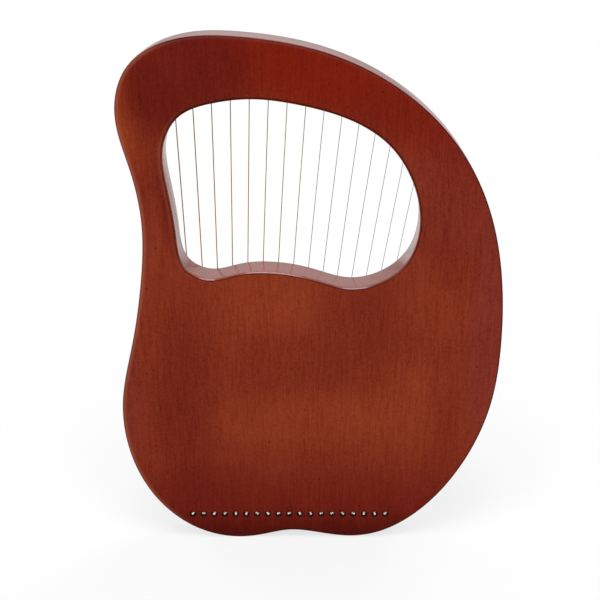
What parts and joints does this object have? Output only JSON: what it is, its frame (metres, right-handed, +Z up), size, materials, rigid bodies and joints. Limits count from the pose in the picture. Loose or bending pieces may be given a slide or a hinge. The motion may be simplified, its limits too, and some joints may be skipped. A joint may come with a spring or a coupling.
{
  "type": "lyre harp",
  "caption": "Flat hollow wooden lyre harp with a hand opening in its upper half, strings held by ball ends in the back and wound on turning pins along the arm.",
  "frame": {"origin": "centre of the bounding box in x and y, at the level of the lowest point of the bottom lobes, which the harp stands on", "axes": "+Z up along the strings, +X towards the treble side (right as seen from the plain back), +Y out of the front, where the strings and the tuning pins are"},
  "size_m": [0.3737, 0.058, 0.5111],
  "materials": {
    "mahogany_body": "satin lacquer over reddish-brown stain",
    "inner_wood": "bare sanded wood",
    "rosewood_fittings": "oiled",
    "bone_saddle": "polished bone-like",
    "brass_rod": "polished",
    "nickelled_pins": "nickel plated",
    "bronze_wound_wire": "bronze wound wire",
    "plain_steel_wire": "bright drawn steel wire"
  },
  "bodies": {
    "root": {"back_plate": "mahogany_body", "soundboard": "mahogany_body", "outer_rib": "mahogany_body", "inner_rib": "mahogany_body", "bridge": "rosewood_fittings", "nut": "rosewood_fittings", "rosette": "rosewood_fittings", "saddle": "bone_saddle", "nut_rod": "brass_rod", "left_post": "inner_wood", "pin_block": "inner_wood", "tail_block": "inner_wood", "lining_back_left": "inner_wood", "lining_back_right": "inner_wood", "lining_back_opening": "inner_wood", "lining_front_left": "inner_wood", "lining_front_right": "inner_wood", "lining_front_opening": "inner_wood", "back_brace": "inner_wood", "lower_brace": "inner_wood", "upper_brace": "inner_wood", "string_01": "bronze_wound_wire", "string_02": "bronze_wound_wire", "string_03": "bronze_wound_wire", "string_04": "bronze_wound_wire", "string_05": "bronze_wound_wire", "string_06": "bronze_wound_wire", "string_07": "bronze_wound_wire", "string_08": "bronze_wound_wire", "string_09": "bronze_wound_wire", "string_10": "plain_steel_wire", "string_11": "plain_steel_wire", "string_12": "plain_steel_wire", "string_13": "plain_steel_wire", "string_14": "plain_steel_wire", "string_15": "plain_steel_wire", "string_16": "plain_steel_wire", "string_17": "plain_steel_wire", "string_18": "plain_steel_wire", "string_19": "plain_steel_wire"},
    "tuning_pin_01": {"tuning_pin_01": "nickelled_pins"},
    "tuning_pin_02": {"tuning_pin_02": "nickelled_pins"},
    "tuning_pin_03": {"tuning_pin_03": "nickelled_pins"},
    "tuning_pin_04": {"tuning_pin_04": "nickelled_pins"},
    "tuning_pin_05": {"tuning_pin_05": "nickelled_pins"},
    "tuning_pin_06": {"tuning_pin_06": "nickelled_pins"},
    "tuning_pin_07": {"tuning_pin_07": "nickelled_pins"},
    "tuning_pin_08": {"tuning_pin_08": "nickelled_pins"},
    "tuning_pin_09": {"tuning_pin_09": "nickelled_pins"},
    "tuning_pin_10": {"tuning_pin_10": "nickelled_pins"},
    "tuning_pin_11": {"tuning_pin_11": "nickelled_pins"},
    "tuning_pin_12": {"tuning_pin_12": "nickelled_pins"},
    "tuning_pin_13": {"tuning_pin_13": "nickelled_pins"},
    "tuning_pin_14": {"tuning_pin_14": "nickelled_pins"},
    "tuning_pin_15": {"tuning_pin_15": "nickelled_pins"},
    "tuning_pin_16": {"tuning_pin_16": "nickelled_pins"},
    "tuning_pin_17": {"tuning_pin_17": "nickelled_pins"},
    "tuning_pin_18": {"tuning_pin_18": "nickelled_pins"},
    "tuning_pin_19": {"tuning_pin_19": "nickelled_pins"}
  },
  "joints": [
    {"name": "pin_turn_01", "type": "hinge", "parent": "root", "child": "tuning_pin_01", "pos_m": [-0.14855, 0.011, 0.46292], "axis": [0, -1, 0], "range_deg": [-1050, 120]},
    {"name": "pin_turn_02", "type": "hinge", "parent": "root", "child": "tuning_pin_02", "pos_m": [-0.13251, 0.011, 0.47249], "axis": [0, -1, 0], "range_deg": [-1050, 120]},
    {"name": "pin_turn_03", "type": "hinge", "parent": "root", "child": "tuning_pin_03", "pos_m": [-0.11485, 0.011, 0.47852], "axis": [0, -1, 0], "range_deg": [-1050, 120]},
    {"name": "pin_turn_04", "type": "hinge", "parent": "root", "child": "tuning_pin_04", "pos_m": [-0.09637, 0.011, 0.48126], "axis": [0, -1, 0], "range_deg": [-1050, 120]},
    {"name": "pin_turn_05", "type": "hinge", "parent": "root", "child": "tuning_pin_05", "pos_m": [-0.07769, 0.011, 0.48203], "axis": [0, -1, 0], "range_deg": [-1050, 120]},
    {"name": "pin_turn_06", "type": "hinge", "parent": "root", "child": "tuning_pin_06", "pos_m": [-0.05899, 0.011, 0.48175], "axis": [0, -1, 0], "range_deg": [-1050, 120]},
    {"name": "pin_turn_07", "type": "hinge", "parent": "root", "child": "tuning_pin_07", "pos_m": [-0.04035, 0.011, 0.4804], "axis": [0, -1, 0], "range_deg": [-1050, 120]},
    {"name": "pin_turn_08", "type": "hinge", "parent": "root", "child": "tuning_pin_08", "pos_m": [-0.02184, 0.011, 0.47779], "axis": [0, -1, 0], "range_deg": [-1050, 120]},
    {"name": "pin_turn_09", "type": "hinge", "parent": "root", "child": "tuning_pin_09", "pos_m": [-0.00357, 0.011, 0.47379], "axis": [0, -1, 0], "range_deg": [-1050, 120]},
    {"name": "pin_turn_10", "type": "hinge", "parent": "root", "child": "tuning_pin_10", "pos_m": [0.01433, 0.011, 0.4684], "axis": [0, -1, 0], "range_deg": [-1050, 120]},
    {"name": "pin_turn_11", "type": "hinge", "parent": "root", "child": "tuning_pin_11", "pos_m": [0.03176, 0.011, 0.46163], "axis": [0, -1, 0], "range_deg": [-1050, 120]},
    {"name": "pin_turn_12", "type": "hinge", "parent": "root", "child": "tuning_pin_12", "pos_m": [0.04858, 0.011, 0.45347], "axis": [0, -1, 0], "range_deg": [-1050, 120]},
    {"name": "pin_turn_13", "type": "hinge", "parent": "root", "child": "tuning_pin_13", "pos_m": [0.06461, 0.011, 0.44387], "axis": [0, -1, 0], "range_deg": [-1050, 120]},
    {"name": "pin_turn_14", "type": "hinge", "parent": "root", "child": "tuning_pin_14", "pos_m": [0.07966, 0.011, 0.43278], "axis": [0, -1, 0], "range_deg": [-1050, 120]},
    {"name": "pin_turn_15", "type": "hinge", "parent": "root", "child": "tuning_pin_15", "pos_m": [0.09351, 0.011, 0.42022], "axis": [0, -1, 0], "range_deg": [-1050, 120]},
    {"name": "pin_turn_16", "type": "hinge", "parent": "root", "child": "tuning_pin_16", "pos_m": [0.10596, 0.011, 0.40628], "axis": [0, -1, 0], "range_deg": [-1050, 120]},
    {"name": "pin_turn_17", "type": "hinge", "parent": "root", "child": "tuning_pin_17", "pos_m": [0.11682, 0.011, 0.39107], "axis": [0, -1, 0], "range_deg": [-1050, 120]},
    {"name": "pin_turn_18", "type": "hinge", "parent": "root", "child": "tuning_pin_18", "pos_m": [0.12586, 0.011, 0.37471], "axis": [0, -1, 0], "range_deg": [-1050, 120]},
    {"name": "pin_turn_19", "type": "hinge", "parent": "root", "child": "tuning_pin_19", "pos_m": [0.13265, 0.011, 0.35731], "axis": [0, -1, 0], "range_deg": [-1050, 120]}
  ]
}
